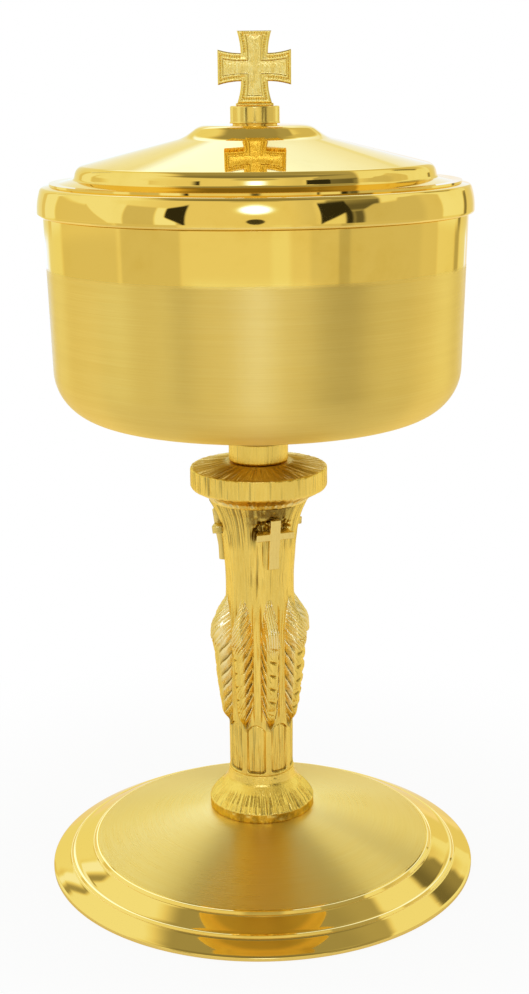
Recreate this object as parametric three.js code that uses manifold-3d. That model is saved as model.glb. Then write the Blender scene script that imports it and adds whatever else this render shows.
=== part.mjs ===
// Ciborium: a covered cup on a cast stem and a spun foot, held together by one tie rod.
// Millimetres, +Z up. The origin is the centre of the circle that the foot stands on.

import * as THREE from 'three';
import { mergeVertices } from 'three/addons/utils/BufferGeometryUtils.js';
import Module from 'manifold-3d';

const wasm = await Module();
wasm.setup();

// Facets round the foot, cup and lid, round the stem, and round small pieces
const roundFacets = 40;
const stemFacets = 32;
const smallFacets = 20;

// Gap between turned faces that pass through one another
const clearance = 0.3;

// How far a cutting or joined shape runs past the face that it has to reach
const overrun = 1;

// Foot: a standing edge, two polished bands with a narrow step above each, and a satin dome
const footRadius = 69.1;
const footSheet = 1.2;
const footEdgeHeight = 1.05;
const footRimWidth = 3.2;
const outerBandWidth = 5.62;
const outerBandRise = 2.98;
const outerStepWidth = 0.93;
const outerStepRise = 0.8;
const innerBandWidth = 6.7;
const innerBandRise = 2.52;
const innerStepWidth = 0.97;
const innerStepRise = 0.95;
const domeRise = 10.2;
const domeBulge = 1.3;
const seatMargin = 0.4;

// Tie rod with its washer and nut
const rodRadius = 4;
const rodTail = 2.8;
const washerRadius = 13;
const washerThickness = 1.5;
const nutAcrossFlats = 13;
const nutHeight = 6.5;

// Collar under the shaft
const collarHeight = 13.5;
const collarRadius = 17.13;
const collarRimHeight = 2.9;
const collarTopRadius = 10.7;

// Shaft: its lower and upper radius, the trumpet that opens at the top, and its bore
const shaftHeight = 90.2;
const shaftFootRadius = 10.35;
const shaftNeckRadius = 10.85;
const shaftTopRadius = 14.9;
const trumpetHeight = 24.7;
const trumpetGentleShare = 0.35;
const trumpetCurve = 5;
const shaftBore = 6.5;
const shaftEndPlate = 4;

// Wheat ears round the shaft
const earCount = 8;
const earBottom = 15.2;
const earHeight = 44.3;
const earReach = 16.5;
const earTaper = 12.9;
const earWidth = 7;
const earRounding = 1.8;
const earTipStep = 0.6;
const earTopStep = 1.6;
const earTurn = 13;

// Recessed panels between the feet of the ears
const panelWidth = 6.2;
const panelBottom = 0.7;
const panelHeight = 15.5;
const panelFlat = 9.55;

// Latin crosses in relief at the top of the shaft, each with a niche and a hood behind its upper bar
const reliefCount = 3;
const reliefTurn = 21;
const reliefTopMargin = 3.7;
const reliefHeight = 16.4;
const reliefBar = 3.2;
const reliefSpan = 10;
const reliefArm = 2.4;
const reliefArmDrop = 4.3;
const reliefFace = 12.85;
const reliefLean = 3;
const nicheWidth = 10.6;
const nicheHeight = 4.6;
const nicheDepth = 1.6;
const hoodWidth = 13;
const hoodReach = 16.5;
const hoodHeight = 4.6;

// Capital: the textured disc
const capitalRadius = 21.6;
const capitalSeatRadius = 15.4;
const capitalUnderRise = 5.4;
const capitalRimHeight = 5.3;
const capitalTopRise = 1.76;
const capitalEdge = 0.7;
const capitalSeatMargin = 1;

// Ring and threaded bush between the capital and the cup
const neckRadius = 9.35;
const neckHeight = 6.54;
const bossRadius = 6.2;
const bossHeight = 14;
const bossRoof = 2;

// Cup
const cupRadius = 63.65;
const cupWall = 1.1;
const cupHeight = 76.5;
const cupTaper = 1.5;
const cupFlatMargin = 0.7;
const cupFloorSlope = 0.23;
const cupCornerRadius = 15;
const cupRimRecess = 0.65;
const cupRimHeight = 6.8;

// Lid: skirt round the rim of the cup, shoulder, riser, cone and raised centre
const lidSheet = 0.9;
const lidPlay = 0.4;
const skirtWall = 1.97;
const skirtGap = 0.4;
const shoulderWidth = 10.5;
const shoulderRise = 3.2;
const riserHeight = 3.7;
const riserRounding = 1.3;
const riserFillet = 0.6;
const riserLean = 0.1;
const coneSlope = 0.247;
const coneInnerRadius = 24;
const coveWidth = 7.5;
const coveRise = 4.25;
const crownEdge = 0.9;
const lidSeatMargin = 0.4;

// Finial: collar and cross with flared arms, held by a screw from inside the lid
const finialRadius = 7.4;
const finialHeight = 5.5;
const finialFlare = 0.12;
const finialEdge = 0.35;
const finialBead = 0.5;
const screwRadius = 1.5;
const screwTipMargin = 0.8;
const screwHeadRadius = 3;
const screwHeadHeight = 2;
const smallWasherRadius = 5.5;
const smallWasherThickness = 0.8;
const crossSpan = 21.6;
const crossTopArm = 10.3;
const crossCentre = 11;
const crossWaist = 8;
const crossTip = 10.1;
const crossFlare = 1.6;
const crossThickness = 3.2;
const crossFootWidth = 11.2;
const crossFootThickness = 4.4;
const crossFootHeight = 0.7;
const pegRadius = 1.2;
const pegLength = 1.4;

const degrees = Math.PI / 180;

// A gilded surface; the roughness tells polished metal from satin and from raw casting
function gilt(color, roughness) {
  return new THREE.MeshStandardMaterial({ color, roughness, metalness: 1 });
}

const polished = gilt(0xe9d27a, 0.12);
const satin = gilt(0xd9b955, 0.38);
const cast = gilt(0xcfae4c, 0.5);
const raw = gilt(0xb8953f, 0.45);

// A three.js geometry as a solid that can be joined and cut
function solid(geometry) {
  const bare = geometry.clone();
  bare.deleteAttribute('normal');
  bare.deleteAttribute('uv');
  const merged = mergeVertices(bare, 1e-4);
  return new wasm.Manifold(new wasm.Mesh({
    numProp: 3,
    vertProperties: new Float32Array(merged.attributes.position.array),
    triVerts: new Uint32Array(merged.index.array),
  }));
}

function geometryOf(body) {
  const mesh = body.getMesh();
  const geometry = new THREE.BufferGeometry();
  geometry.setAttribute('position', new THREE.BufferAttribute(mesh.vertProperties, 3));
  geometry.setIndex(new THREE.BufferAttribute(mesh.triVerts, 1));
  return geometry;
}

// Revolves [radius, height] points about Z. The outline runs anticlockwise and is closed here.
function turned(outline, facets = roundFacets) {
  const points = [...outline, outline[0]].map(([radius, height]) => new THREE.Vector2(radius, height));
  const geometry = new THREE.LatheGeometry(points, facets);
  geometry.rotateX(Math.PI / 2);
  return solid(geometry);
}

// A flat outline, [across, up], stood up facing -Y and pushed out from one distance to another
function frontPrism(outline, from, to, bevel = 0) {
  const shape = new THREE.Shape(outline.map(([x, y]) => new THREE.Vector2(x, y)));
  const geometry = new THREE.ExtrudeGeometry(shape, {
    depth: to - from - 2 * bevel,
    bevelEnabled: bevel > 0,
    bevelThickness: bevel,
    bevelSize: bevel,
    bevelOffset: -bevel,
    bevelSegments: 1,
    steps: 1,
  });
  geometry.translate(0, 0, from + bevel);
  geometry.rotateX(Math.PI / 2);
  return solid(geometry);
}

// A cylinder along Z from one height to another
function rod(radius, bottom, top, facets = smallFacets) {
  const geometry = new THREE.CylinderGeometry(radius, radius, top - bottom, facets);
  geometry.rotateX(Math.PI / 2);
  geometry.translate(0, 0, (bottom + top) / 2);
  return solid(geometry);
}

function union(bodies) {
  return bodies.reduce((sum, body) => sum.add(body));
}

// Copies of a body at equal angles round Z, the first one turned by a given angle
function ring(body, count, turn) {
  const copies = [];
  for (let i = 0; i < count; i += 1) {
    copies.push(body.rotate([0, 0, turn + (360 / count) * i]));
  }
  return union(copies);
}

// The height of a falling outline at a given radius
function heightAt(outline, radius) {
  for (let i = 1; i < outline.length; i += 1) {
    const [r0, z0] = outline[i - 1];
    const [r1, z1] = outline[i];
    if ((r0 - radius) * (r1 - radius) <= 0 && r0 !== r1) {
      return z0 + ((z1 - z0) * (radius - r0)) / (r1 - r0);
    }
  }
  return outline[outline.length - 1][1];
}

// Foot

const rodHole = rodRadius + clearance;
const bandOuterTop = footEdgeHeight + outerBandRise;
const bandInnerBottom = bandOuterTop + outerStepRise;
const bandInnerTop = bandInnerBottom + innerBandRise;
const domeEdgeHeight = bandInnerTop + innerStepRise;
const footHeight = domeEdgeHeight + domeRise;
const bandOuterRadius = footRadius - outerBandWidth;
const bandInnerRadius = bandOuterRadius - outerStepWidth;
const stepInnerRadius = bandInnerRadius - innerBandWidth;
const domeEdgeRadius = stepInnerRadius - innerStepWidth;
const seatRadius = collarRadius + seatMargin;

function footBody() {
  const domeSteps = 6;
  const top = [
    [footRadius, footEdgeHeight],
    [bandOuterRadius, bandOuterTop],
    [bandInnerRadius, bandInnerBottom],
    [stepInnerRadius, bandInnerTop],
    [domeEdgeRadius, domeEdgeHeight],
  ];
  for (let i = domeSteps - 1; i >= 0; i -= 1) {
    const share = i / domeSteps;
    const radius = seatRadius + (domeEdgeRadius - seatRadius) * share;
    top.push([radius, footHeight - domeRise * share ** domeBulge]);
  }
  const under = top.map(([radius, height]) => [radius - footSheet, height - footSheet]);
  const rimInner = footRadius - footRimWidth;
  const rimInnerTop = heightAt(under, rimInner);
  return turned([
    [rimInner, 0],
    [footRadius, 0],
    ...top,
    [rodHole, footHeight],
    [rodHole, footHeight - footSheet],
    ...under.filter(([radius]) => radius < rimInner).reverse(),
    [rimInner, rimInnerTop],
  ]);
}

// Tie rod, washer and nut

const footUnder = footHeight - footSheet;
const washerBottom = footUnder - washerThickness;
const nutBottom = washerBottom - nutHeight;
const rodBottom = nutBottom - rodTail;

function washerBody(outer, inner, bottom, thickness) {
  return turned([
    [inner, bottom],
    [outer, bottom],
    [outer, bottom + thickness],
    [inner, bottom + thickness],
  ], smallFacets);
}

function nutBody() {
  const hexagon = rod(nutAcrossFlats / 2 / Math.cos(30 * degrees), nutBottom, washerBottom, 6);
  return hexagon.subtract(rod(rodHole, nutBottom - overrun, washerBottom + overrun));
}

// Collar

const collarBottom = footHeight;
const collarTop = collarBottom + collarHeight;

function collarBody() {
  const slope = collarRadius - collarTopRadius;
  const rise = collarHeight - collarRimHeight;
  const flare = (out, up) => [collarTopRadius + slope * out, collarBottom + collarRimHeight + rise * up];
  return turned([
    [rodHole, collarBottom],
    [collarRadius, collarBottom],
    flare(1, 0),
    flare(0.93, 0.09),
    flare(0.55, 0.36),
    flare(0.24, 0.55),
    flare(0.05, 0.75),
    flare(0, 1),
    [rodHole, collarTop],
  ], stemFacets);
}

// Shaft

const shaftBottom = collarTop;
const shaftTop = shaftBottom + shaftHeight;
const trumpetBottom = shaftHeight - trumpetHeight;
const reliefBottom = shaftHeight - reliefTopMargin - reliefHeight;

// Radius of the plain shaft, without ears and crosses, at a height above its foot
function shaftRadius(height) {
  if (height < trumpetBottom) {
    return shaftFootRadius + ((shaftNeckRadius - shaftFootRadius) * height) / trumpetBottom;
  }
  const share = (height - trumpetBottom) / trumpetHeight;
  const gentle = trumpetGentleShare * share;
  const steep = (1 - trumpetGentleShare) * share ** trumpetCurve;
  return shaftNeckRadius + (shaftTopRadius - shaftNeckRadius) * (gentle + steep);
}

// Seen from the side: how far an ear stands out along its height. Ears, crosses and hoods all start
// at the rod, and the hollow of the shaft is cut through them last.
function earSide() {
  const reach = (share) => earTaper + (earReach - earTaper) * share;
  const up = (share) => earBottom + earHeight * share;
  return [
    [rodRadius, up(0)],
    [shaftRadius(earBottom) - clearance, up(0)],
    [shaftRadius(earBottom) + earTipStep, up(0.04)],
    [reach(0), up(0.12)],
    [reach(0.38), up(0.32)],
    [reach(0.6), up(0.48)],
    [reach(0.85), up(0.62)],
    [reach(1), up(0.71)],
    [reach(0.92), up(0.78)],
    [reach(0.45), up(0.86)],
    [shaftRadius(earBottom) + earTopStep, up(0.95)],
    [shaftNeckRadius - clearance, up(1)],
    [rodRadius, up(1)],
  ];
}

// Seen from the front: a leaf with its point down and a round top
function earFront() {
  const half = earWidth / 2;
  const up = (share) => earBottom + earHeight * share;
  const right = [
    [0.45, 0.05],
    [0.85, 0.16],
    [1, 0.4],
    [1, 0.7],
    [0.8, 0.88],
    [0.4, 0.98],
  ];
  return [
    [0, up(0)],
    ...right.map(([x, y]) => [x * half, up(y)]),
    [0, up(1.01)],
    ...right.reverse().map(([x, y]) => [-x * half, up(y)]),
  ];
}

// The side profile, pushed across the ear's width with rounded flanks, then trimmed to the leaf
function earBody() {
  const side = frontPrism(earSide(), -earWidth / 2, earWidth / 2, earRounding);
  const leaf = frontPrism(earFront(), rodRadius, earReach + overrun);
  return side.rotate([0, 0, -90]).intersect(leaf);
}

function panelCutter() {
  const half = panelWidth / 2;
  const corner = half * 0.25;
  const top = panelBottom + panelHeight;
  return frontPrism([
    [-half + corner, panelBottom],
    [half - corner, panelBottom],
    [half, panelBottom + corner],
    [half, top - half],
    [0, top],
    [-half, top - half],
    [-half, panelBottom + corner],
  ], panelFlat, earReach);
}

function reliefBody() {
  const bar = reliefBar / 2;
  const arm = reliefSpan / 2;
  const armTop = reliefHeight - reliefArmDrop;
  const armBottom = armTop - reliefArm;
  const cross = frontPrism([
    [-bar, 0],
    [bar, 0],
    [bar, armBottom],
    [arm, armBottom],
    [arm, armTop],
    [bar, armTop],
    [bar, reliefHeight],
    [-bar, reliefHeight],
    [-bar, armTop],
    [-arm, armTop],
    [-arm, armBottom],
    [-bar, armBottom],
  ], rodRadius - reliefFace, 0);
  return cross.rotate([reliefLean, 0, 0]).translate([0, -reliefFace, reliefBottom]);
}

const armTopHeight = reliefBottom + reliefHeight - reliefArmDrop;
const nicheTop = armTopHeight + nicheHeight;

// The scoop behind the upper bar, from the top of the arms to the hood
function nicheCutter() {
  const half = nicheWidth / 2;
  const floor = shaftRadius(armTopHeight) - nicheDepth;
  return frontPrism([
    [-half, armTopHeight],
    [half, armTopHeight],
    [half * 0.8, nicheTop],
    [-half * 0.8, nicheTop],
  ], floor, hoodReach + overrun);
}

// The top of the trumpet stands out in a hood over each cross
function hoodBody() {
  const bottom = shaftHeight - hoodHeight;
  const half = hoodWidth / 2;
  const root = shaftRadius(bottom) - clearance;
  const reach = hoodReach - root;
  const bulge = turned([
    [rodRadius, bottom],
    [root, bottom],
    [root + reach * 0.55, bottom + hoodHeight * 0.35],
    [root + reach * 0.93, bottom + hoodHeight * 0.7],
    [hoodReach, shaftHeight],
    [rodRadius, shaftHeight],
  ], stemFacets);
  const window = frontPrism([
    [-half * 0.6, bottom - overrun],
    [half * 0.6, bottom - overrun],
    [half, shaftHeight],
    [-half, shaftHeight],
  ], rodRadius, hoodReach + overrun);
  return bulge.intersect(window);
}

function shaftBody() {
  const straightSteps = 3;
  const trumpetSteps = 8;
  const side = [];
  for (let i = 0; i < straightSteps; i += 1) {
    const height = (trumpetBottom * i) / straightSteps;
    side.push([shaftRadius(height), height]);
  }
  for (let i = 0; i <= trumpetSteps; i += 1) {
    const height = trumpetBottom + trumpetHeight * (1 - (1 - i / trumpetSteps) ** 1.5);
    side.push([shaftRadius(height), height]);
  }
  const core = turned([
    [0, 0],
    ...side,
    [0, shaftHeight],
  ], stemFacets);
  const hollow = turned([
    [0, -overrun],
    [rodHole, -overrun],
    [rodHole, shaftEndPlate],
    [shaftBore, shaftEndPlate],
    [shaftBore, shaftHeight - shaftEndPlate],
    [rodHole, shaftHeight - shaftEndPlate],
    [rodHole, shaftHeight + overrun],
    [0, shaftHeight + overrun],
  ], stemFacets);
  const betweenEars = 180 / earCount;
  return core
    .subtract(ring(panelCutter(), earCount, earTurn + betweenEars))
    .add(ring(hoodBody(), reliefCount, reliefTurn))
    .subtract(ring(nicheCutter(), reliefCount, reliefTurn))
    .add(ring(earBody(), earCount, earTurn))
    .add(ring(reliefBody(), reliefCount, reliefTurn))
    .subtract(hollow);
}

// Capital

const capitalBottom = shaftTop;
const bossHole = bossRadius + clearance;
const capitalHeight = capitalUnderRise + capitalRimHeight + capitalTopRise;
const neckBottom = capitalBottom + capitalHeight;
const neckTop = neckBottom + neckHeight;
const bossBottom = neckTop - bossHeight;

function capitalBody() {
  const rimBottom = capitalBottom + capitalUnderRise;
  const rimTop = rimBottom + capitalRimHeight;
  const overhang = capitalRadius - capitalSeatRadius;
  const under = (out, up) => [capitalSeatRadius + overhang * out, capitalBottom + capitalUnderRise * up];
  const bossFloor = bossBottom - clearance;
  return turned([
    [rodHole, capitalBottom],
    under(0, 0),
    under(0.17, 0.26),
    under(0.38, 0.44),
    under(0.64, 0.63),
    under(0.9, 0.82),
    under(1, 1),
    [capitalRadius, rimTop - capitalEdge],
    [capitalRadius - capitalEdge, rimTop],
    [neckRadius + capitalSeatMargin, neckBottom],
    [bossHole, neckBottom],
    [bossHole, bossFloor],
    [rodHole, bossFloor],
  ], stemFacets);
}

function neckBody() {
  return turned([
    [bossHole, neckBottom],
    [neckRadius, neckBottom],
    [neckRadius, neckTop],
    [bossHole, neckTop],
  ], stemFacets);
}

// A bush closed at the top, with the rod's blind hole from below
function bossBody() {
  const holeTop = neckTop - bossRoof;
  return turned([
    [rodHole, bossBottom],
    [bossRadius, bossBottom],
    [bossRadius, neckTop],
    [0, neckTop],
    [0, holeTop],
    [rodHole, holeTop],
  ], smallFacets);
}

// Cup

const cupBottom = neckTop;
const rimTop = cupBottom + cupHeight;
const shoulderHeight = cupHeight - cupRimHeight;
const cupRimRadius = cupRadius - cupRimRecess;

// The outside of the cup from the flat under the floor to the shoulder under the rim
function cupOutside() {
  const cornerSteps = 6;
  const flatRadius = neckRadius + cupFlatMargin;
  const lean = cupTaper * degrees;
  const floorAngle = Math.atan(cupFloorSlope);
  // Centre of the corner arc, tangent to the sloping floor and to the leaning wall
  const wallAt = (height) => cupRadius - (shoulderHeight - height) * Math.tan(lean);
  const floorAt = (radius) => (radius - flatRadius) * cupFloorSlope;
  let centreRadius = cupRadius - cupCornerRadius;
  let centreHeight = cupCornerRadius;
  for (let i = 0; i < 20; i += 1) {
    centreRadius = wallAt(centreHeight) - cupCornerRadius / Math.cos(lean);
    centreHeight = floorAt(centreRadius) + cupCornerRadius / Math.cos(floorAngle);
  }
  const outline = [[flatRadius, 0]];
  for (let i = 0; i <= cornerSteps; i += 1) {
    const start = -90 * degrees + floorAngle;
    const angle = start + (-lean - start) * (i / cornerSteps);
    outline.push([
      centreRadius + cupCornerRadius * Math.cos(angle),
      centreHeight + cupCornerRadius * Math.sin(angle),
    ]);
  }
  outline.push([cupRadius, shoulderHeight]);
  return outline;
}

function cupBody() {
  const outside = cupOutside();
  const inside = outside.map(([radius, height]) => [radius - cupWall, height + cupWall]);
  const bore = cupRimRadius - cupWall;
  const upper = inside.pop();
  return turned([
    [0, 0],
    ...outside,
    [cupRimRadius, shoulderHeight],
    [cupRimRadius, cupHeight],
    [bore, cupHeight],
    [bore, upper[1]],
    ...inside.reverse(),
    [0, cupWall],
  ]).translate([0, 0, cupBottom]);
}

// Lid, in heights above the rim of the cup

const lidInner = cupRimRadius + lidPlay;
const skirtRadius = lidInner + skirtWall;
const skirtDrop = cupRimHeight - skirtGap;
const cornerRadius = lidInner + lidSheet;
const riserRadius = cornerRadius - shoulderWidth;
const shoulderTop = lidSheet + shoulderRise;
const riserTop = shoulderTop + riserHeight;
const coneTop = riserTop + (riserRadius - riserRounding - coneInnerRadius) * coneSlope;
const crownTop = coneTop + coveRise;

// The outside of the lid above the skirt, from the corner inwards
function lidCrown() {
  const cove = (inwards, up) => [coneInnerRadius - coveWidth * inwards, coneTop + coveRise * up];
  return [
    [cornerRadius, lidSheet],
    [cornerRadius - shoulderWidth * 0.09, lidSheet + shoulderRise * 0.22],
    [cornerRadius - shoulderWidth * 0.37, lidSheet + shoulderRise * 0.5],
    [riserRadius + riserFillet, shoulderTop - riserFillet * 0.4],
    [riserRadius, shoulderTop + riserFillet],
    [riserRadius - riserLean, riserTop - riserRounding * 0.8],
    [riserRadius - riserRounding * 0.35, riserTop - riserRounding * 0.25],
    [riserRadius - riserRounding, riserTop],
    [coneInnerRadius, coneTop],
    cove(0.3, 0.22),
    cove(0.6, 0.5),
    cove(0.9, 0.93),
    [coneInnerRadius - coveWidth - crownEdge, crownTop],
  ];
}

function lidBody() {
  const crown = lidCrown();
  const under = crown.map(([radius, height]) => [radius - lidSheet, height - lidSheet]);
  const ledge = cupRimRadius - cupWall - lidSeatMargin;
  const skirtDepth = skirtRadius - cornerRadius;
  const skirt = (inwards, up) => [skirtRadius - skirtDepth * inwards, -skirtDrop * (1 - up)];
  return turned([
    [lidInner, -skirtDrop],
    skirt(0.9, 0),
    skirt(0.2, 0.125),
    skirt(0, 0.3),
    skirt(0.23, 0.625),
    skirt(0.72, 0.95),
    ...crown,
    [screwRadius + clearance, crownTop],
    [screwRadius + clearance, crownTop - lidSheet],
    ...under.filter(([radius]) => radius < ledge).reverse(),
    [ledge, heightAt(under, ledge)],
    [ledge, 0],
    [lidInner, 0],
  ]).translate([0, 0, rimTop]);
}

// Finial

const finialBottom = rimTop + crownTop;
const finialTop = finialBottom + finialHeight;
const crownUnder = finialBottom - lidSheet;
const smallWasherBottom = crownUnder - smallWasherThickness;
const screwHeadBottom = smallWasherBottom - screwHeadHeight;
const screwTip = finialTop - pegLength - screwTipMargin;

function finialCollarBody() {
  const flared = finialRadius + finialFlare;
  return turned([
    [0, finialTop],
    [0, screwTip],
    [screwRadius + clearance, screwTip],
    [screwRadius + clearance, finialBottom],
    [flared, finialBottom],
    [flared, finialBottom + finialBead],
    [finialRadius, finialBottom + 2 * finialBead],
    [finialRadius, finialTop - finialEdge],
    [finialRadius - finialEdge, finialTop],
  ], stemFacets).subtract(rod(pegRadius + clearance, finialTop - pegLength - clearance, finialTop + overrun));
}

function finialScrewBody() {
  const head = rod(screwHeadRadius, screwHeadBottom, smallWasherBottom);
  return head.add(rod(screwRadius, screwHeadBottom + overrun, screwTip));
}

// One arm's side, from the waist at the crossing to the flared tip, curving outwards
function armSide(length) {
  const steps = 4;
  const side = [];
  for (let i = 0; i <= steps; i += 1) {
    const share = i / steps;
    const half = crossWaist / 2 + ((crossTip - crossWaist) / 2) * share ** crossFlare;
    side.push([crossWaist / 2 + (length - crossWaist / 2) * share, half]);
  }
  return side;
}

function finialCrossBody() {
  const sideArm = armSide(crossSpan / 2);
  const topArm = armSide(crossTopArm);
  const bottomArm = armSide(crossCentre - crossFootHeight);
  const outline = [
    ...bottomArm.map(([along, half]) => [half, crossCentre - along]).reverse(),
    ...sideArm.slice(1).map(([along, half]) => [along, crossCentre - half]),
    ...sideArm.slice(1).reverse().map(([along, half]) => [along, crossCentre + half]),
    ...topArm.map(([along, half]) => [half, crossCentre + along]),
  ];
  const mirrored = outline.map(([across, up]) => [-across, up]).reverse();
  const blade = frontPrism([...outline, ...mirrored], -crossThickness / 2, crossThickness / 2);
  const foot = new THREE.BoxGeometry(crossFootWidth, crossFootThickness, crossFootHeight);
  foot.translate(0, 0, crossFootHeight / 2);
  return blade
    .add(solid(foot))
    .add(rod(pegRadius, -pegLength, crossFootHeight))
    .translate([0, 0, finialTop]);
}

// Assembly

const ciborium = new THREE.Group();
const rodTop = neckTop - bossRoof;

function place(name, body, material) {
  const mesh = new THREE.Mesh(geometryOf(body), material.clone());
  mesh.name = name;
  ciborium.add(mesh);
}

place('foot_shell', footBody(), satin);
place('foot_washer', washerBody(washerRadius, rodHole, washerBottom, washerThickness), raw);
place('foot_nut', nutBody(), raw);
place('tie_rod', rod(rodRadius, rodBottom, rodTop), raw);
place('stem_collar', collarBody(), cast);
place('stem_shaft', shaftBody().translate([0, 0, shaftBottom]), cast);
place('stem_capital', capitalBody(), cast);
place('neck_ring', neckBody(), cast);
place('cup_boss', bossBody(), raw);
place('cup_shell', cupBody(), satin);
place('lid_shell', lidBody(), polished);
place('finial_collar', finialCollarBody(), polished);
place('finial_cross', finialCrossBody(), cast);
place('finial_washer', washerBody(smallWasherRadius, screwRadius + clearance, smallWasherBottom,
  smallWasherThickness), raw);
place('finial_screw', finialScrewBody(), raw);

export default ciborium;
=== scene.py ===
# %% [markdown]
# # A gilded ciborium, dressed for its portrait
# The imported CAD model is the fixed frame. This script builds a finer skin round it, piece by piece,
# gives every surface its metal, and sets up a small light tent and a camera.

import math

import bpy
import numpy as np
from mathutils import Matrix, Vector
from mathutils.geometry import delaunay_2d_cdt


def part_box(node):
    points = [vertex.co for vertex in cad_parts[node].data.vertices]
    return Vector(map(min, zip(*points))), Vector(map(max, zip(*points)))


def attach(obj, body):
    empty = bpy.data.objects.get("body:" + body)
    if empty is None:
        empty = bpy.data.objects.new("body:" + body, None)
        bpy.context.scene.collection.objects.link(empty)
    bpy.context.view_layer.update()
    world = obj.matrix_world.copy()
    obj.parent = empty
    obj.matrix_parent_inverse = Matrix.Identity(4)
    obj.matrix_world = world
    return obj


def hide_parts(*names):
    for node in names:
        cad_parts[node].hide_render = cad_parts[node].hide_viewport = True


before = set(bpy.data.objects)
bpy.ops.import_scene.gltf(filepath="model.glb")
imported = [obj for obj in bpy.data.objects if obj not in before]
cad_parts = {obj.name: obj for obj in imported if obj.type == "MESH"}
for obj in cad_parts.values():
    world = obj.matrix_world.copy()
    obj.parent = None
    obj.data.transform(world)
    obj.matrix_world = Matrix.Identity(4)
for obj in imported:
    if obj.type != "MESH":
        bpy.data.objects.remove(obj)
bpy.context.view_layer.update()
MM = 0.001

# %% [markdown]
# ## The camera
# It stands where the photograph was taken from: about half a metre in front, a little above the lid and
# looking down by fourteen and a half degrees. The object leans half a degree to the left in the picture,
# so the camera is rolled by the same amount, and turned a touch to the right to centre the view.

# %% Camera
CAMERA_PLACE = Vector((0, -0.48508, 0.247935))
PITCH = 0.253
ROLL = math.radians(0.55)
FOCAL_PIXELS = 1590.223
IMAGE_HEIGHT = 994
SIDE_PIXELS = 5.8

yaw = math.atan(SIDE_PIXELS / FOCAL_PIXELS)
forward = Vector((math.sin(yaw) * math.cos(PITCH), math.cos(yaw) * math.cos(PITCH), -math.sin(PITCH)))
side = forward.cross(Vector((0, 0, 1))).normalized()
upward = side.cross(forward)
right = side * math.cos(ROLL) - upward * math.sin(ROLL)
top = upward * math.cos(ROLL) + side * math.sin(ROLL)
eye = bpy.data.cameras.new("portrait_camera")
eye.sensor_width = 36
eye.lens = FOCAL_PIXELS * eye.sensor_width / IMAGE_HEIGHT
eye.clip_start, eye.clip_end = 0.01, 20
camera = bpy.data.objects.new("portrait_camera", eye)
bpy.context.scene.collection.objects.link(camera)
turn = Matrix((right, top, -forward)).transposed().to_4x4()
camera.matrix_world = Matrix.Translation(CAMERA_PLACE) @ turn
bpy.context.scene.camera = camera
print("lens", round(eye.lens, 2), "mm")

# %% [markdown]
# ## Node trees written as sums
# A wire is one output of a node. Adding or multiplying wires makes the maths node that does it, so a
# pattern reads like a formula.

# %% Wires and trees
class Wire:
    def __init__(self, tree, socket):
        self.tree, self.socket = tree, socket

    def maths(self, kind, *others):
        return self.tree.maths(kind, self, *others)

    def __add__(self, other):
        return self.maths("ADD", other)

    __radd__ = __add__

    def __mul__(self, other):
        return self.maths("MULTIPLY", other)

    __rmul__ = __mul__

    def __sub__(self, other):
        return self.maths("SUBTRACT", other)

    def __rsub__(self, other):
        return self.tree.maths("SUBTRACT", other, self)

    def __truediv__(self, other):
        return self.maths("DIVIDE", other)

    def __rtruediv__(self, other):
        return self.tree.maths("DIVIDE", other, self)

    def __neg__(self):
        return self.maths("MULTIPLY", -1)


class Tree:
    def __init__(self, owner):
        owner.use_nodes = True
        self.nodes, self.links = owner.node_tree.nodes, owner.node_tree.links
        self.nodes.clear()

    def node(self, kind, sockets=None, **settings):
        """A new node with its settings. What goes on a socket is a value or a wire."""
        made = self.nodes.new(kind)
        for name, value in settings.items():
            setattr(made, name, value)
        for name, value in (sockets or {}).items():
            if isinstance(value, Wire):
                self.links.new(value.socket, made.inputs[name])
            else:
                made.inputs[name].default_value = value
        return made

    def wire(self, kind, sockets=None, output=0, **settings):
        """One output of a new node."""
        return Wire(self, self.node(kind, sockets, **settings).outputs[output])

    def surface(self, shader, kind="ShaderNodeOutputMaterial"):
        self.node(kind, {"Surface": shader})

    def maths(self, kind, *values):
        return self.wire("ShaderNodeMath", dict(enumerate(values)), operation=kind)

    def parts(self, vector):
        return [Wire(self, socket) for socket in self.node("ShaderNodeSeparateXYZ", {0: vector}).outputs]

    def vector(self, x, y, z):
        return self.wire("ShaderNodeCombineXYZ", {0: x, 1: y, 2: z})

    def step(self, value, low, high, at_low=0, at_high=1):
        sockets = {"Value": value, "From Min": low, "From Max": high, "To Min": at_low, "To Max": at_high}
        return self.wire("ShaderNodeMapRange", sockets, interpolation_type="SMOOTHSTEP")

    def fade(self, value, low, high):
        return self.step(value, low, high, 1, 0)

    def mix(self, share, first, second):
        return self.wire("ShaderNodeMix", {0: share, 6: first, 7: second}, 2, data_type="RGBA")

    def blend(self, share, first, second):
        return self.wire("ShaderNodeMixShader", {0: share, 1: first, 2: second})

    def noise(self, vector, scale, detail=2, rough=0.5):
        sockets = {"Vector": vector, "Scale": scale, "Detail": detail, "Roughness": rough}
        return self.wire("ShaderNodeTexNoise", sockets)

    def ramp(self, value, stops):
        made = self.node("ShaderNodeValToRGB", {0: value})
        band = made.color_ramp
        while len(band.elements) < len(stops):
            band.elements.new(0.5)
        for element, (place, colour) in zip(band.elements, stops):
            element.position = place
            element.color = (*colour, 1)
        return Wire(self, made.outputs[0])


# %% [markdown]
# ## Shapes
# Everything round is a loop of rings: a ring of points for each point of the outline, and skin between
# one ring and the next. Where the rings are plain circles this is a lathe. Where the radius changes
# round the ring it carves bark, ears of wheat and crosses. Sizes are in millimetres until the last step.

# %% Outlines
def heights(box):
    """The lower and the upper end of a CAD part, in millimetres."""
    return [corner.z / MM for corner in box]


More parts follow.
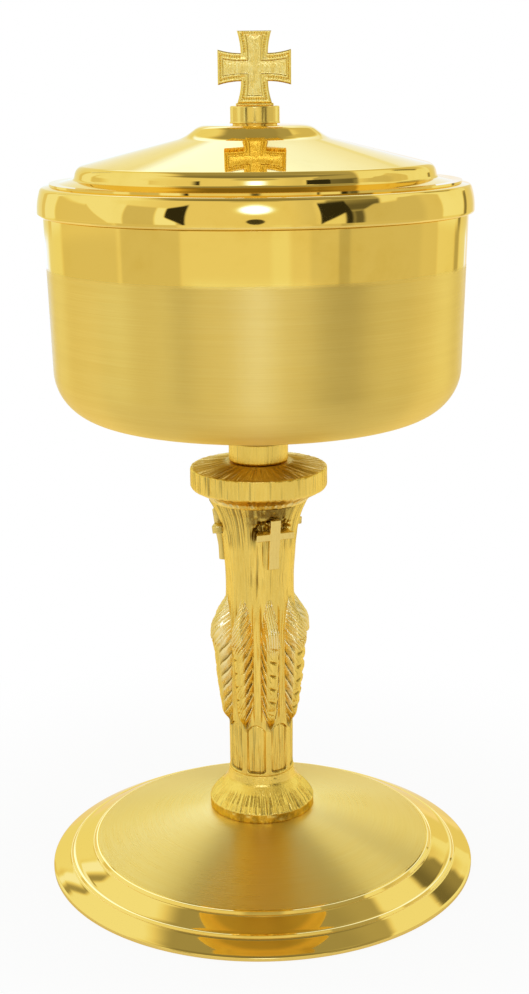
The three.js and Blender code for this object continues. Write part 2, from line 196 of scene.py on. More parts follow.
def rounded(corners, steps):
    """Points along straight lines that join the corners, each corner (radius, height, fillet) rounded."""
    points = []
    spots = [np.array(c[:2], float) for c in corners]
    for i, corner in enumerate(corners):
        if len(corner) < 3 or i in (0, len(corners) - 1):
            points.append(tuple(spots[i]))
            continue
        fillet = corner[2]
        back = spots[i - 1] - spots[i]
        ahead = spots[i + 1] - spots[i]
        back /= np.linalg.norm(back)
        ahead /= np.linalg.norm(ahead)
        half = math.acos(back @ ahead) / 2
        reach = fillet / math.tan(half)
        middle = (back + ahead) / np.linalg.norm(back + ahead)
        centre = spots[i] + middle * fillet / math.sin(half)
        start, end = spots[i] + back * reach, spots[i] + ahead * reach
        a0 = math.atan2(*(start - centre)[::-1])
        a1 = math.atan2(*(end - centre)[::-1])
        sweep = (a1 - a0 + math.pi) % (2 * math.pi) - math.pi
        for k in range(steps + 1):
            a = a0 + sweep * k / steps
            points.append((centre[0] + fillet * math.cos(a), centre[1] + fillet * math.sin(a)))
    return points


def belly(start, end, height, count=15):
    """Points between two ends of a band that bulges by a given height, without the ends."""
    start, end = np.array(start, float), np.array(end, float)
    across = np.array([start[1] - end[1], end[0] - start[0]]) / np.linalg.norm(end - start)
    shares = np.arange(1, count) / count
    return [tuple(start + (end - start) * t - across * height * 4 * t * (1 - t)) for t in shares]


def curve(xs, ys, x):
    """A smooth line through measured points, without overshoot."""
    xs, ys, x = np.array(xs, float), np.array(ys, float), np.asarray(x, float)
    gaps, rises = np.diff(xs), np.diff(ys)
    slopes = rises / gaps
    ends = np.zeros(len(xs))
    same = slopes[:-1] * slopes[1:] > 0
    ends[1:-1][same] = 2 * slopes[:-1][same] * slopes[1:][same] / (slopes[:-1] + slopes[1:])[same]
    ends[0], ends[-1] = slopes[0], slopes[-1]
    k = np.clip(np.searchsorted(xs, x) - 1, 0, len(gaps) - 1)
    t = np.clip((x - xs[k]) / gaps[k], 0, 1)
    h00, h10 = (1 + 2 * t) * (1 - t) ** 2, t * (1 - t) ** 2
    h01, h11 = t * t * (3 - 2 * t), t * t * (t - 1)
    return h00 * ys[k] + h10 * gaps[k] * ends[k] + h01 * ys[k + 1] + h11 * gaps[k] * ends[k + 1]


def ease(low, high, x):
    """0 below the first value, 1 above the second, and a soft slope between them."""
    t = np.clip((x - low) / (high - low), 0, 1)
    return t * t * (3 - 2 * t)


def between(start, full, last, end, x):
    """1 on a stretch, with a soft slope up to it and another down from it."""
    return ease(start, full, x) * (1 - ease(last, end, x))


def bell(x, width):
    """1 in the middle, falling off on both sides."""
    return np.exp(-((x / width) ** 2))


# %% Skins
def finished(name, points, faces, metal, body, crease, marks=None):
    """Puts a mesh in the scene with its metal and its marks of painted shade and painted highlight, and lets
    it ride on its body.
    """
    mesh = bpy.data.meshes.new(name)
    mesh.from_pydata((points * MM).tolist(), [], faces)
    mesh.shade_smooth()
    mesh.set_sharp_from_angle(angle=math.radians(crease))
    if marks is not None:
        dark, shine = marks
        # the depth layer holds the painted shade first and the painted highlight second
        layer = mesh.color_attributes.new("depth", "FLOAT_COLOR", "POINT")
        layer.data.foreach_set("color", np.stack([dark, shine, 0 * dark, 0 * dark + 1], -1).ravel())
    piece = bpy.data.objects.new(name, mesh)
    bpy.context.scene.collection.objects.link(piece)
    mesh.materials.append(metal)
    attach(piece, body)
    return piece


def skin(name, radius, height, metal, body="vessel", crease=35, marks=None):
    """A closed loop of rings. Arrays are [ring, step round the ring]; rings of radius 0 become a point."""
    rings, around = radius.shape
    angle = np.radians(np.arange(around) * 360 / around)
    place = np.stack([radius * np.sin(angle), -radius * np.cos(angle), height], -1).reshape(-1, 3)
    index = np.arange(rings * around).reshape(rings, around)
    for pole in np.where(radius.max(1) < 1e-9)[0]:
        index[pole, :] = index[pole, 0]
    used = np.zeros(rings * around, bool)
    used[index.ravel()] = True
    index = (np.cumsum(used) - 1)[index]
    after = np.roll(index, -1, axis=0)
    quads = np.stack([index, np.roll(index, -1, 1), np.roll(after, -1, 1), after], -1).reshape(-1, 4)
    faces = [[v for k, v in enumerate(quad) if v != quad[k - 1]] for quad in quads.tolist()]
    faces = [face for face in faces if len(face) > 2]
    if marks is not None:
        marks = marks.reshape(2, -1)[:, used]
    return finished(name, place[used], faces, metal, body, crease, marks)


def lathe(name, outline, metal, body="vessel", around=320):
    """A plain round piece from its closed outline, which runs anticlockwise."""
    points = np.array(outline, float)
    radius = np.repeat(points[:, :1], around, 1)
    height = np.repeat(points[:, 1:], around, 1)
    return skin(name, radius, height, metal, body)


# %% [markdown]
# Bark and brushed castings need lines that wander but meet themselves after one turn. A grid of random
# numbers, joined up smoothly and wrapped round the circle, gives them.

# %% Grain
def grain(degrees, along, cells, length, seed):
    """Smooth random values from -1 to 1: cells round the circle, each about one length long."""
    rows = int(np.ceil((along.max() - along.min()) / length)) + 3
    table = np.random.default_rng(seed).uniform(-1, 1, (rows, cells))
    u = (degrees % 360) * cells / 360
    v = (along - along.min()) / length
    i, j = np.floor(u).astype(int), np.floor(v).astype(int)
    fu, fv = u - i, v - j
    fu, fv = fu * fu * (3 - 2 * fu), fv * fv * (3 - 2 * fv)
    low = table[j, i % cells] * (1 - fu) + table[j, (i + 1) % cells] * fu
    high = table[j + 1, i % cells] * (1 - fu) + table[j + 1, (i + 1) % cells] * fu
    return low * (1 - fv) + high * fv


def bark(degrees, along, seed, cells, length):
    """Ridges and cuts of tree bark along one direction: two sizes of grain, sharpened into furrows."""
    coarse = grain(degrees, along, cells, length, seed)
    fine = grain(degrees, along, cells * 2 + 7, length * 0.6, seed + 1)
    value = 0.65 * coarse + 0.35 * fine
    return -np.abs(value) ** 0.8 * 1.6 + 0.55


# %% [markdown]
# ## Metals
# All of it is gilded brass. The polished parts are near mirrors with faint ripples and smudges. The satin
# parts are brushed round the axis, so their highlights are drawn out up and down; the satin under the cup
# has painted shade near the stem, and the foot's satin is dimmed a little as painted shade. The castings
# are duller, with olive-brown painted shade in every crevice and a pale painted highlight on shiny parts.

# %% Colours of the metals
GOLD = (0.955, 0.675, 0.178, 1)
GOLD_DEEP = (0.9, 0.615, 0.14, 1)
EDGE = (0.95, 0.86, 0.58, 1)
SATIN_LOW, SATIN_HIGH = (0.95, 0.66, 0.155), (1, 0.73, 0.205)
# painted shade: the dull brown laid over the satin under the cup, near the stem
UNDERSIDE_SHADE = (0.45, 0.37, 0.13, 1)
CAST_LOW, CAST_HIGH = (0.92, 0.615, 0.115, 1), (1, 0.71, 0.165, 1)
CAST_EDGE = (0.95, 0.82, 0.46, 1)
# painted shade: olive browns for the hollows and crevices of the castings
HOLLOW_SHADE, CREVICE_SHADE = (0.62, 0.44, 0.1, 1), (0.3, 0.19, 0.042, 1)
# painted highlight: the pale colour laid on where a casting is marked shiny
PAINTED_HIGHLIGHT = (1, 0.86, 0.5, 1)
CROSS_LOW, CROSS_HIGH = (1, 0.69, 0.15, 1), (1, 0.77, 0.22, 1)
BRASS_LOW, BRASS_HIGH = (0.6, 0.42, 0.16, 1), (0.72, 0.53, 0.22, 1)


# %% Helpers for metal patterns
def principled(tree, colour, rough, normal, brushed=0, edge=EDGE):
    """Bare metal. Brushed metal smears its highlights straight across the strokes."""
    sockets = {"Base Color": colour, "Metallic": 1, "Roughness": rough, "Normal": normal}
    sockets |= {"Anisotropic": brushed, "Anisotropic Rotation": 0.25, "Specular Tint": edge}
    return tree.wire("ShaderNodeBsdfPrincipled", sockets)


def bump(tree, height, distance, strength):
    return tree.wire("ShaderNodeBump", {"Strength": strength, "Distance": distance, "Height": height})


def mirror(tree, spot, rough, smudges, ripples, swell, deep=GOLD_DEEP):
    """A near mirror: smudges dull and deepen it in places, and faint ripples bend what it shows."""
    smudge = tree.noise(spot, smudges, 4, 0.6)
    colour = tree.mix(tree.step(smudge, 0.45, 0.75), GOLD, deep)
    normal = bump(tree, tree.noise(spot, ripples, 1), swell, 0.4)
    return principled(tree, colour, tree.step(smudge, 0.35, 0.8, *rough), normal)


def satin(tree, spot, cx, cy, across, dull=0, painted_shade_factor=1, painted_shade=0):
    """Brushed metal. The strokes run round the axis and change quickly along the other direction."""
    # the satin's colours are scaled by the given factor, which paints shade over the whole piece
    low, high = ((*(part * painted_shade_factor for part in base), 1) for base in (SATIN_LOW, SATIN_HIGH))
    strokes = tree.noise(tree.vector(cx * 2.2, cy * 2.2, across * 4.5), 1, 5, 0.7)
    wide = tree.noise(tree.vector(cx * 1.1, cy * 1.1, across * 0.55), 1, 3, 0.6)
    cloud = tree.noise(spot, 22, 2)
    colour = tree.mix(tree.step(strokes, 0.3, 0.72), low, high)
    colour = tree.mix(tree.step(wide, 0.4, 0.7) * 0.3, colour, GOLD_DEEP)
    # painted shade: a dull brown laid over the satin where the caller asks for it
    colour = tree.mix(painted_shade, colour, UNDERSIDE_SHADE)
    rough = tree.step(strokes, 0.25, 0.75, 0.35 + dull, 0.41 + dull) + tree.step(cloud, 0.3, 0.7, -0.02, 0.02)
    return principled(tree, colour, rough, bump(tree, strokes, 0.00005, 0.6), 0.96)


# %% [markdown]
# Each pattern below is a function of the place on the object: the spot itself, the height and the radius
# in millimetres, and where the spot lies on a circle of radius 1 round the axis.

# %% Polished and satin gold
def polished(tree, spot, z, radius, cx, cy, wear_and_glint=0):
    return mirror(tree, spot, (0.03 + wear_and_glint, 0.065 + wear_and_glint), 55, 28, 0.00035)


def cup_gold(tree, spot, z, radius, cx, cy, brushed_below):
    """A mirror; below a given height it is satin brushed round the axis, with painted shade near the stem."""
    brushed = satin(tree, spot, cx, cy, z, painted_shade=tree.step(radius, 44, 52, 0.6, 0))
    share = tree.step(z + tree.noise(spot, 160) * 0.3, brushed_below - 0.9, brushed_below + 0.8)
    return tree.blend(share, brushed, polished(tree, spot, z, radius, cx, cy))


def foot_gold(tree, spot, z, radius, cx, cy, mirror_beyond):
    """Satin brushed in circles, its colour dimmed by a tenth as painted shade; outside a given radius it is
    polished.
    """
    brushed = satin(tree, spot, cx, cy, radius, -0.08, 0.9)
    bright = mirror(tree, spot, (0.035, 0.07), 60, 30, 0.0004, GOLD)
    return tree.blend(tree.step(radius, mirror_beyond - 0.15, mirror_beyond + 0.15), brushed, bright)


# %% Castings and turned brass
def cast(tree, spot, z, radius, cx, cy, rough, hairs, low, high):
    """A gilded casting: fine file marks, olive-brown painted shade where it is marked dark, a pale painted
    highlight where marked shiny.
    """
    depth, shine, _ = tree.parts(tree.wire("ShaderNodeVertexColor", output="Color", layer_name="depth"))
    marks = tree.noise(tree.vector(cx * radius * hairs, cy * radius * hairs, z * 0.2), 1, 4, 0.65)
    pits = tree.noise(spot, 700, 3, 0.6)
    colour = tree.mix(tree.step(marks, 0.3, 0.7), low, high)
    # painted shade where marked dark, deepest in the crevices
    colour = tree.mix(tree.step(depth, 0.1, 0.55), colour, HOLLOW_SHADE)
    colour = tree.mix(tree.step(depth, 0.55, 1), colour, CREVICE_SHADE)
    # painted highlight where marked shiny
    colour = tree.mix(shine * 0.7, colour, PAINTED_HIGHLIGHT)
    rough = tree.step(marks, 0.3, 0.7, *rough) + depth * 0.1 - shine * 0.08
    normal = bump(tree, marks * 0.75 + pits * 0.25, 0.00014, 0.8)
    return principled(tree, colour, rough, normal, edge=CAST_EDGE)


def turned(tree, spot, z, radius, cx, cy):
    rings = tree.noise(tree.vector(cx, cy, radius * 5 + z * 5), 1, 3)
    colour = tree.mix(tree.step(rings, 0.3, 0.7), BRASS_LOW, BRASS_HIGH)
    return principled(tree, colour, tree.step(rings, 0.2, 0.8, 0.24, 0.4), bump(tree, rings, 0.00008, 0.7))


# %% The seven materials
def metal(name, pattern, *values):
    """A material from one of the patterns."""
    material = bpy.data.materials.new(name)
    tree = Tree(material)
    spot = tree.wire("ShaderNodeTexCoord", output="Object")
    x, y, z = [part * 1000 for part in tree.parts(spot)]
    radius = (x * x + y * y).maths("SQRT").maths("MAXIMUM", 0.01)
    tree.surface(pattern(tree, spot, z, radius, x / radius, y / radius, *values))
    return material


CUP_SATIN_BELOW = 196.3
FOOT_MIRROR_BEYOND = 54.2
metal_lid = metal("polished_gold_lid", polished)
metal_cup = metal("gold_cup", cup_gold, CUP_SATIN_BELOW)
metal_foot = metal("gold_foot", foot_gold, FOOT_MIRROR_BEYOND)
metal_knob = metal("polished_gold_knob", polished, 0.15)
metal_cast = metal("cast_gold_stem", cast, (0.13, 0.27), 2.4, CAST_LOW, CAST_HIGH)
metal_cross = metal("cast_gold_cross", cast, (0.2, 0.32), 0.9, CROSS_LOW, CROSS_HIGH)
metal_brass = metal("turned_brass", turned)
print("metals", len(bpy.data.materials))

# %% [markdown]
# ## Foot
# Two polished bands fall from a small lip at the edge of the satin dome, each with a narrow step at its
# upper side. The sheet is turned under at the edge, where it stands on a flat ring.

# %% Foot
_, foot_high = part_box("foot_shell")
FOOT_RADIUS = foot_high.x / MM
FOOT_TOP = foot_high.z / MM
ROD_HOLE = 4.3
TURNED_UNDER = 3.2
SHEET = 1.2
DOME_EDGE = (54.88, 8.3)
SEAT = 17.53
BAND_BELLY = 0.03


def dome(radius):
    share = np.clip((np.asarray(radius, float) - SEAT) / (DOME_EDGE[0] - SEAT), 0, 1)
    return FOOT_TOP - (FOOT_TOP - DOME_EDGE[1]) * share ** 1.3


rim = rounded(
    [
        (FOOT_RADIUS - TURNED_UNDER, 0),
        (FOOT_RADIUS, 0, 0.25),
        (FOOT_RADIUS, 1.15, 0.35),
        (68.5, 1.55, 0.9),
        *belly((67.7, 1.93), (63.95, 3.71), BAND_BELLY),
        (63.75, 3.8, 0.3),
        (63.35, 4.12, 0.22),
        (63.1, 4.05, 0.12),
        (62.6, 4.72, 0.15),
        (62.2, 4.74, 0.12),
        (61.85, 4.79, 0.2),
        *belly((61.6, 4.86), (56.5, 7.27), BAND_BELLY),
        (56.3, 7.36, 0.3),
        (55.9, 7.62, 0.22),
        (55.6, 7.5, 0.12),
        (DOME_EDGE[0] + 0.12, DOME_EDGE[1] + 0.08, 0.2),
        (DOME_EDGE[0] - 0.3, DOME_EDGE[1] + 0.07, 0.12),
        (DOME_EDGE[0] - 0.6, float(dome(DOME_EDGE[0] - 0.6)), 0.15),
        (DOME_EDGE[0] - 1.6, float(dome(DOME_EDGE[0] - 1.6))),
    ],
    steps=6,
)
dome_part = [(r, float(dome(r))) for r in np.linspace(DOME_EDGE[0] - 2.2, SEAT, 28)]
outside = rim + dome_part + [(ROD_HOLE, FOOT_TOP)]
inner_edge = FOOT_RADIUS - TURNED_UNDER
inside = [(r - SHEET, z - SHEET) for r, z in outside[:-1] if r - SHEET < inner_edge and z > TURNED_UNDER]
outline = outside + [(ROD_HOLE, FOOT_TOP - SHEET)] + inside[::-1] + [(inner_edge, inside[0][1])]
foot = lathe("gilded_foot", outline, metal_foot)
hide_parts("foot_shell")
print("foot", len(foot.data.vertices), "points")

# %% [markdown]
# ## Cup
# The floor is a shallow cone, then a broad round corner and a wall that leans outwards by a degree and a
# half. The top six and a half millimetres are turned thinner, and sit inside the skirt of the lid.

# %% Cup
CUP_BOTTOM, CUP_RIM = heights(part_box("cup_shell"))
CUP_RADIUS = 63.65
THINNED_RADIUS = CUP_RADIUS - 0.65
THINNED_FROM = CUP_RIM - 6.55
CORNER_RADIUS, CORNER_RISE = 62.14, 11.98
WALL = 1.1
cup_outline = rounded(
    [
        (0, CUP_BOTTOM),
        (10.05, CUP_BOTTOM, 0.6),
        (CORNER_RADIUS, CUP_BOTTOM + CORNER_RISE, 15),
        (CUP_RADIUS, THINNED_FROM, 0.2),
        (THINNED_RADIUS, THINNED_FROM, 0.15),
        (THINNED_RADIUS, CUP_RIM, 0.5),
        (THINNED_RADIUS - WALL, CUP_RIM, 0.5),
        (THINNED_RADIUS - WALL, CUP_RIM - 8, 0.4),
        (CORNER_RADIUS - WALL, CUP_BOTTOM + CORNER_RISE + WALL, 14),
        (9.8, CUP_BOTTOM + WALL, 1),
        (0, CUP_BOTTOM + WALL),
    ],
    steps=22,
)
cup = lathe("gilded_cup", cup_outline, metal_cup)
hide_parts("cup_shell")

# %% [markdown]
# ## Lid
# One polished spinning: a skirt that curves in by a few degrees, a round shoulder, a short riser, a long
# shallow cone, and a raised centre that carries the finial.

# %% Lid
SKIRT_BOTTOM, LID_TOP = heights(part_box("lid_shell"))
LID_SHEET = 0.9
SKIRT_INSIDE, SKIRT_OUTSIDE = 63.4, 65.34
CROWN_FROM = 219.3
LEDGE = 61.5
SCREW_HOLE = 1.8
lid_outside = rounded(
    [
        (SKIRT_INSIDE, SKIRT_BOTTOM, 0.3),
        (SKIRT_OUTSIDE, SKIRT_BOTTOM, 0.75),
        (SKIRT_OUTSIDE, 215.4, 18),
        (64.18, 219.4, 1.5),
        (54.18, 221.69, 1),
        (53.35, 225.2, 3.2),
        (21.3, 233.22, 11),
        (16.45, LID_TOP, 6),
        (SCREW_HOLE, LID_TOP),
    ],
    steps=14,
)
lid_outside[0] = (SKIRT_INSIDE, SKIRT_BOTTOM + 0.2)
crown = [(r - LID_SHEET, z - LID_SHEET) for r, z in lid_outside if z > CROWN_FROM and r > SCREW_HOLE + 0.1]
crown = [(r, z) for r, z in crown if r < LEDGE][::-1]
lid_outline = lid_outside + [(SCREW_HOLE, LID_TOP - LID_SHEET)] + crown
lid_outline += [(LEDGE, crown[-1][1]), (LEDGE, CUP_RIM), (SKIRT_INSIDE, CUP_RIM)]
lid = lathe("polished_lid", lid_outline, metal_lid, "lid", around=360)
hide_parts("lid_shell")
print("lid", len(lid.data.vertices), "points")

# %% Finial collar
KNOB_BOTTOM, KNOB_TOP = heights(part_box("finial_collar"))
KNOB = 7.4
BLIND_RADIUS, BLIND_DEPTH = 1.5, 1.7
knob_outline = rounded(
    [
        (SCREW_HOLE, KNOB_BOTTOM),
        (KNOB - 0.75, KNOB_BOTTOM),
        (KNOB - 0.75, KNOB_BOTTOM + 0.4, 0.1),
        (KNOB + 0.1, KNOB_BOTTOM + 0.45, 0.1),
        (KNOB + 0.1, KNOB_BOTTOM + 0.8, 0.15),
        (KNOB - 0.05, KNOB_BOTTOM + 0.95, 0.15),
        (KNOB - 0.05, KNOB_TOP, 0.45),
        (BLIND_RADIUS, KNOB_TOP),
        (BLIND_RADIUS, KNOB_TOP - BLIND_DEPTH),
        (0, KNOB_TOP - BLIND_DEPTH),
        (0, KNOB_TOP - BLIND_DEPTH - 0.5),
        (SCREW_HOLE, KNOB_TOP - BLIND_DEPTH - 0.5),
    ],
    steps=6,
)
knob = lathe("polished_finial_collar", knob_outline, metal_knob, "lid", around=160)
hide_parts("finial_collar")

# %% [markdown]
# ## Finial cross
# Four flared arms with hollow sides. A raised border runs round a grained panel, with a beaded line
# between the two. The face is a fine sheet of triangles whose height depends on how far each point lies
# from the outline.

# %% Cross outline
cross_low, cross_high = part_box("finial_cross")
CROSS_FOOT = KNOB_TOP
CENTRE = CROSS_FOOT + 11
WAIST, TIP, FOOT_TIP, FLARE = 4, 5.05, 5.15, 1.9
SIDE_ARM, UPRIGHT = 10.8, 10.3
HALF_THICK = 1.6


def arm(length, tip=TIP):
    share = np.linspace(0, 1, 34)
    return [(WAIST + (length - WAIST) * s, WAIST + (tip - WAIST) * s ** FLARE) for s in share]


def cross_ring():
    """The outline, anticlockwise, as (across, up) from the centre of the cross."""
    side_arm, top_arm, foot_arm = arm(SIDE_ARM), arm(UPRIGHT), arm(UPRIGHT, FOOT_TIP)
    right_half = [(half, -along) for along, half in foot_arm[::-1]]
    right_half += [(along, -half) for along, half in side_arm[1:]]
    right_half += [(along, half) for along, half in side_arm[::-1]]
    right_half += [(half, along) for along, half in top_arm[1:]]
    corners = np.array(right_half + [(-x, y) for x, y in right_half[::-1]])
    ring = []
    for corner, ahead in zip(corners, np.roll(corners, -1, 0)):
        count = max(1, int(math.dist(corner, ahead) / 0.16))
        ring += [corner + (ahead - corner) * k / count for k in range(count)]
    return np.array(ring)


def bar_depth(along, across, length, squeeze):
    """How far a point lies inside one flared bar of the cross; the border is squeezed at the two ends."""
    share = np.clip((np.abs(along) - WAIST) / (length - WAIST), 0, 1)
    half = WAIST + (TIP - WAIST) * share ** FLARE
    slope = (TIP - WAIST) * FLARE * share ** (FLARE - 1) / (length - WAIST)
    ends = (length - np.abs(along)) * np.where(along < 0, squeeze[0], squeeze[1])
    return np.minimum((half - np.abs(across)) / np.hypot(1, slope), ends)


def depth_in_cross(x, z):
    """How far a point lies inside the cross, below 0 outside it."""
    return np.maximum(bar_depth(x, z, SIDE_ARM, (1.4, 1.55)), bar_depth(z, x, UPRIGHT, (0.95, 1.7)))


def from_outline(points, ring):
    """Distance of each point from the outline and how far along it the nearest spot lies."""
    ends = np.roll(ring, -1, 0)
    edge = ends - ring
    size = np.linalg.norm(edge, axis=1)
    start = np.concatenate([[0], np.cumsum(size)[:-1]])
    best = np.full(len(points), 1e9)
    along = np.zeros(len(points))
    for i in range(len(ring)):
        t = np.clip(((points - ring[i]) @ edge[i]) / size[i] ** 2, 0, 1)
        gap = np.linalg.norm(points - (ring[i] + t[:, None] * edge[i]), axis=1)
        closer = gap < best
        best[closer] = gap[closer]
        along[closer] = (start[i] + t * size[i])[closer]
    return best, along


# %% Cross face and edges
def relief_of_face(gap, along):
    """Height of the cross's face above its middle plane, its painted shade in the groove and at the ledge,
    and its painted highlight.
    """
    edge = -0.32 * (1 - ease(0, 0.38, gap))
    groove = between(0.8, 0.98, 1.34, 1.52, gap)
    beads = groove * (0.5 + 0.5 * np.cos(along / 0.7 * 2 * math.pi)) ** 0.7
    ledge = ease(2, 2.22, gap)
    cushion = ease(2.1, 4.2, gap)
    chance = np.random.default_rng(11)
    rough = chance.uniform(-1, 1, len(gap)) * 0.017 * ledge + chance.uniform(-1, 1, len(gap)) * 0.008
    height = HALF_THICK + edge - groove * 0.32 + beads * 0.26 - ledge * 0.34 + cushion * 0.06 + rough
    dark = groove * (0.34 - 0.34 * beads) + 0.5 * bell(gap - 2.12, 0.13)
    return height, np.clip(dark, 0, 1), ledge * 0.12


ring = cross_ring()
PITCH_OF_FACE = 0.15
grid_x, grid_y = np.meshgrid(np.arange(-11, 11, PITCH_OF_FACE), np.arange(-11, 11, PITCH_OF_FACE * 0.87))
grid_x[1::2] += PITCH_OF_FACE / 2
inner = np.stack([grid_x.ravel(), grid_y.ravel()], -1)
inner = inner[depth_in_cross(*inner.T) > 0]
inner = inner[from_outline(inner, ring)[0] > 0.1]
flat = np.concatenate([ring, inner])
edges = [(i, (i + 1) % len(ring)) for i in range(len(ring))]
plane, _, tiles, *_ = delaunay_2d_cdt([Vector(p) for p in flat], edges, [], 1, 1e-5)
plane = np.array([tuple(p) for p in plane])
_, along = from_outline(plane, ring)
height, dark, bright = relief_of_face(np.clip(depth_in_cross(*plane.T), 0, None), along)
front = np.stack([plane[:, 0], -height, plane[:, 1] + CENTRE], -1)
count, rim_points = len(plane), len(ring)
faces = [list(t) for t in tiles] + [[v + count for v in t[::-1]] for t in tiles]
faces += [[i, i + count, (i + 1) % rim_points + count, (i + 1) % rim_points] for i in range(rim_points)]
points = np.concatenate([front, front * (1, -1, 1)])
marks = np.tile([dark, bright], 2)
blade = finished("cast_finial_cross", points, faces, metal_cross, "lid", 50, marks)
print("cross", count, "points a side")

# %% Cross foot
def slab(half_x, half_y, low, high, bevel, steps=72, power=0.22):
    """Points and faces of a flat block with rounded edges: a superellipse, cut back at both ends."""
    angle = np.linspace(0, 2 * math.pi, steps, endpoint=False)
    shape = np.stack([np.sin(angle), -np.cos(angle)], -1)
    shape = np.sign(shape) * np.abs(shape) ** power
    points = [(0, 0, low)]
    for inset, level in ((bevel, low), (0, low + bevel), (0, high - bevel), (bevel, high)):
        points += [(x * (half_x - inset), y * (half_y - inset), level) for x, y in shape]
    points.append((0, 0, high))
    bottom, top_row = 1, 1 + 3 * steps
    faces = []
    for k in range(steps):
        n = (k + 1) % steps
        faces.append([0, bottom + n, bottom + k])
        faces += [[a + k, a + n, a + steps + n, a + steps + k] for a in range(bottom, top_row, steps)]
        faces.append([top_row + k, top_row + n, len(points) - 1])
    return np.array(points), faces


points, faces = slab(5.6, 2.2, CROSS_FOOT, CROSS_FOOT + 0.75, 0.16)
plain_marks = np.zeros((2, len(points)))
cross_foot = finished("cast_cross_foot", points, faces, metal_cross, "lid", 40, plain_marks)
cross_foot.parent = blade
cross_foot.matrix_parent_inverse = Matrix.Identity(4)
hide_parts("finial_cross")

# %% [markdown]
# ## Stem
# The collar, the shaft, the capital and the neck are castings with a bark of fine ridges. The shaft is
# one carved surface: a radius for every height and every angle round the stem.

# %% Rings for carving
NECK_HOLE = 6.5


def carved(name, rows, turn_steps, hole):
    """rows takes degrees and gives radius, height and marks: painted shade alone, or painted shade stacked on
    painted highlight.
    """
    degrees = np.arange(turn_steps) * 360 / turn_steps
    radius, height, marks = rows(degrees[None, :])
    low, high, bore = (np.full((1, turn_steps), level) for level in (height.min(), height.max(), hole))
    if marks.ndim == 2:
        marks = np.stack([marks, 0 * marks])
    end = np.zeros((2, 1, turn_steps))
    marks = np.concatenate([end, marks, end], 1)
    radius, height = np.concatenate([bore, radius, bore]), np.concatenate([low, height, high])
    return skin(name, radius, height, metal_cast, crease=180, marks=marks)


def unrolled(corners, fillet_steps, rows, degrees):
    """Radius, height, angle and way along, for rings spread evenly along an outline."""
    outline = np.array(rounded(corners, fillet_steps))
    steps = [0]
    for p, q in zip(outline[:-1], outline[1:]):
        steps.append(steps[-1] + math.dist(p, q))
    way = np.linspace(0, steps[-1], rows)[:, None] + 0 * degrees
    r, z = (np.interp(way, steps, column) for column in outline.T)
    return r, z, degrees + 0 * way, way


# %% Neck ring
NECK_LOW, NECK_HIGH = heights(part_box("neck_ring"))


def neck_rows(degrees):
    z = np.linspace(NECK_LOW, NECK_HIGH, 40)[:, None] + 0 * degrees
    lines = bark(degrees + 0 * z, z, 21, 90, 14)
    ends = 0.35 * (1 - ease(0, 0.5, z - z.min())) + 0.2 * (1 - ease(0, 0.4, z.max() - z))
    # painted shade in the deeper grooves of the bark
    return 9.25 + 0.09 * lines - ends, z, np.clip(-lines * 0.5, 0, 0.4)


neck = carved("cast_neck_ring", neck_rows, 480, NECK_HOLE)
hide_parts("neck_ring")

# %% Capital
CAP_LOW, CAP_HIGH = heights(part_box("stem_capital"))
CAP_RADIUS = 21.6
RELIEF_ROOM = 0.12


def capital_rows(degrees):
    corners = [
        (15, CAP_LOW),
        (15.4, CAP_LOW, 0.2),
        (16.4, 123.6, 1.5),
        (17.7, 124.4, 2),
        (19.35, 125.25, 2),
        (21, 126.15, 1.2),
        (CAP_RADIUS - RELIEF_ROOM, 127, 0.6),
        (CAP_RADIUS - RELIEF_ROOM, 132.75, 0.45),
        (10.2, CAP_HIGH - RELIEF_ROOM),
        (7, CAP_HIGH - RELIEF_ROOM),
    ]
    r, z, a, way = unrolled(corners, 5, 190, degrees)
    flutes = bark(a, way, 57, 92, 30)
    rim = between(126, 127.2, 132.3, 132.9, z) * ease(19.5, 21, r)
    face = ease(132.6, 133, z) * ease(9.4, 11, r) * (1 - rim)
    under = (1 - ease(125.4, 126.8, z)) * ease(15.3, 16.4, r)
    lines = bark(a, way, 31, 150, 16)
    rays = bark(a, way, 37, 128, 30)
    thin = grain(a, way, 300, 12, 38)
    patchy = 0.45 + 0.75 * np.abs(grain(a, way, 7, 60, 39))
    chips = np.clip(grain(a, way, 96, 1.2, 33), 0, 1) * ease(132.1, 132.9, z) * ease(20.6, 21.4, r)
    r += rim * 0.26 * (lines - 0.3) * patchy - chips * 0.4
    inward = ease(9.6, 12.5, r)
    z += face * (0.3 * (rays - 0.3) + 0.08 * thin) * inward - under * 0.38 * (flutes - 0.5)
    # painted shade in the rim's bark, the face's rays, the flutes underneath, the chips and next to the neck
    dark = rim * np.clip(0.1 - lines * 1.2, 0, 0.85) * patchy
    dark += face * np.clip(0.4 - rays * 0.8 - 0.25 * thin, 0, 0.9) * (1 - 0.5 * ease(14, 20.5, r))
    dark += under * np.clip(0.25 - flutes * 0.9, 0, 0.9) + chips * 0.3
    dark += 0.5 * ease(132.6, 133, z) * (1 - ease(9.8, 12, r))
    # painted highlight on the face and under the rim
    shine = 0.7 * under + face * (0.6 + 0.4 * ease(13, 18, r))
    return np.minimum(r, CAP_RADIUS), np.minimum(z, CAP_HIGH), np.clip(np.stack([dark, shine]), 0, 1)


capital = carved("cast_capital", capital_rows, 900, NECK_HOLE)
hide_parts("stem_capital")

# %% Collar
COL_LOW, COL_HIGH = heights(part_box("stem_collar"))
COLLAR_RADIUS = 17.13


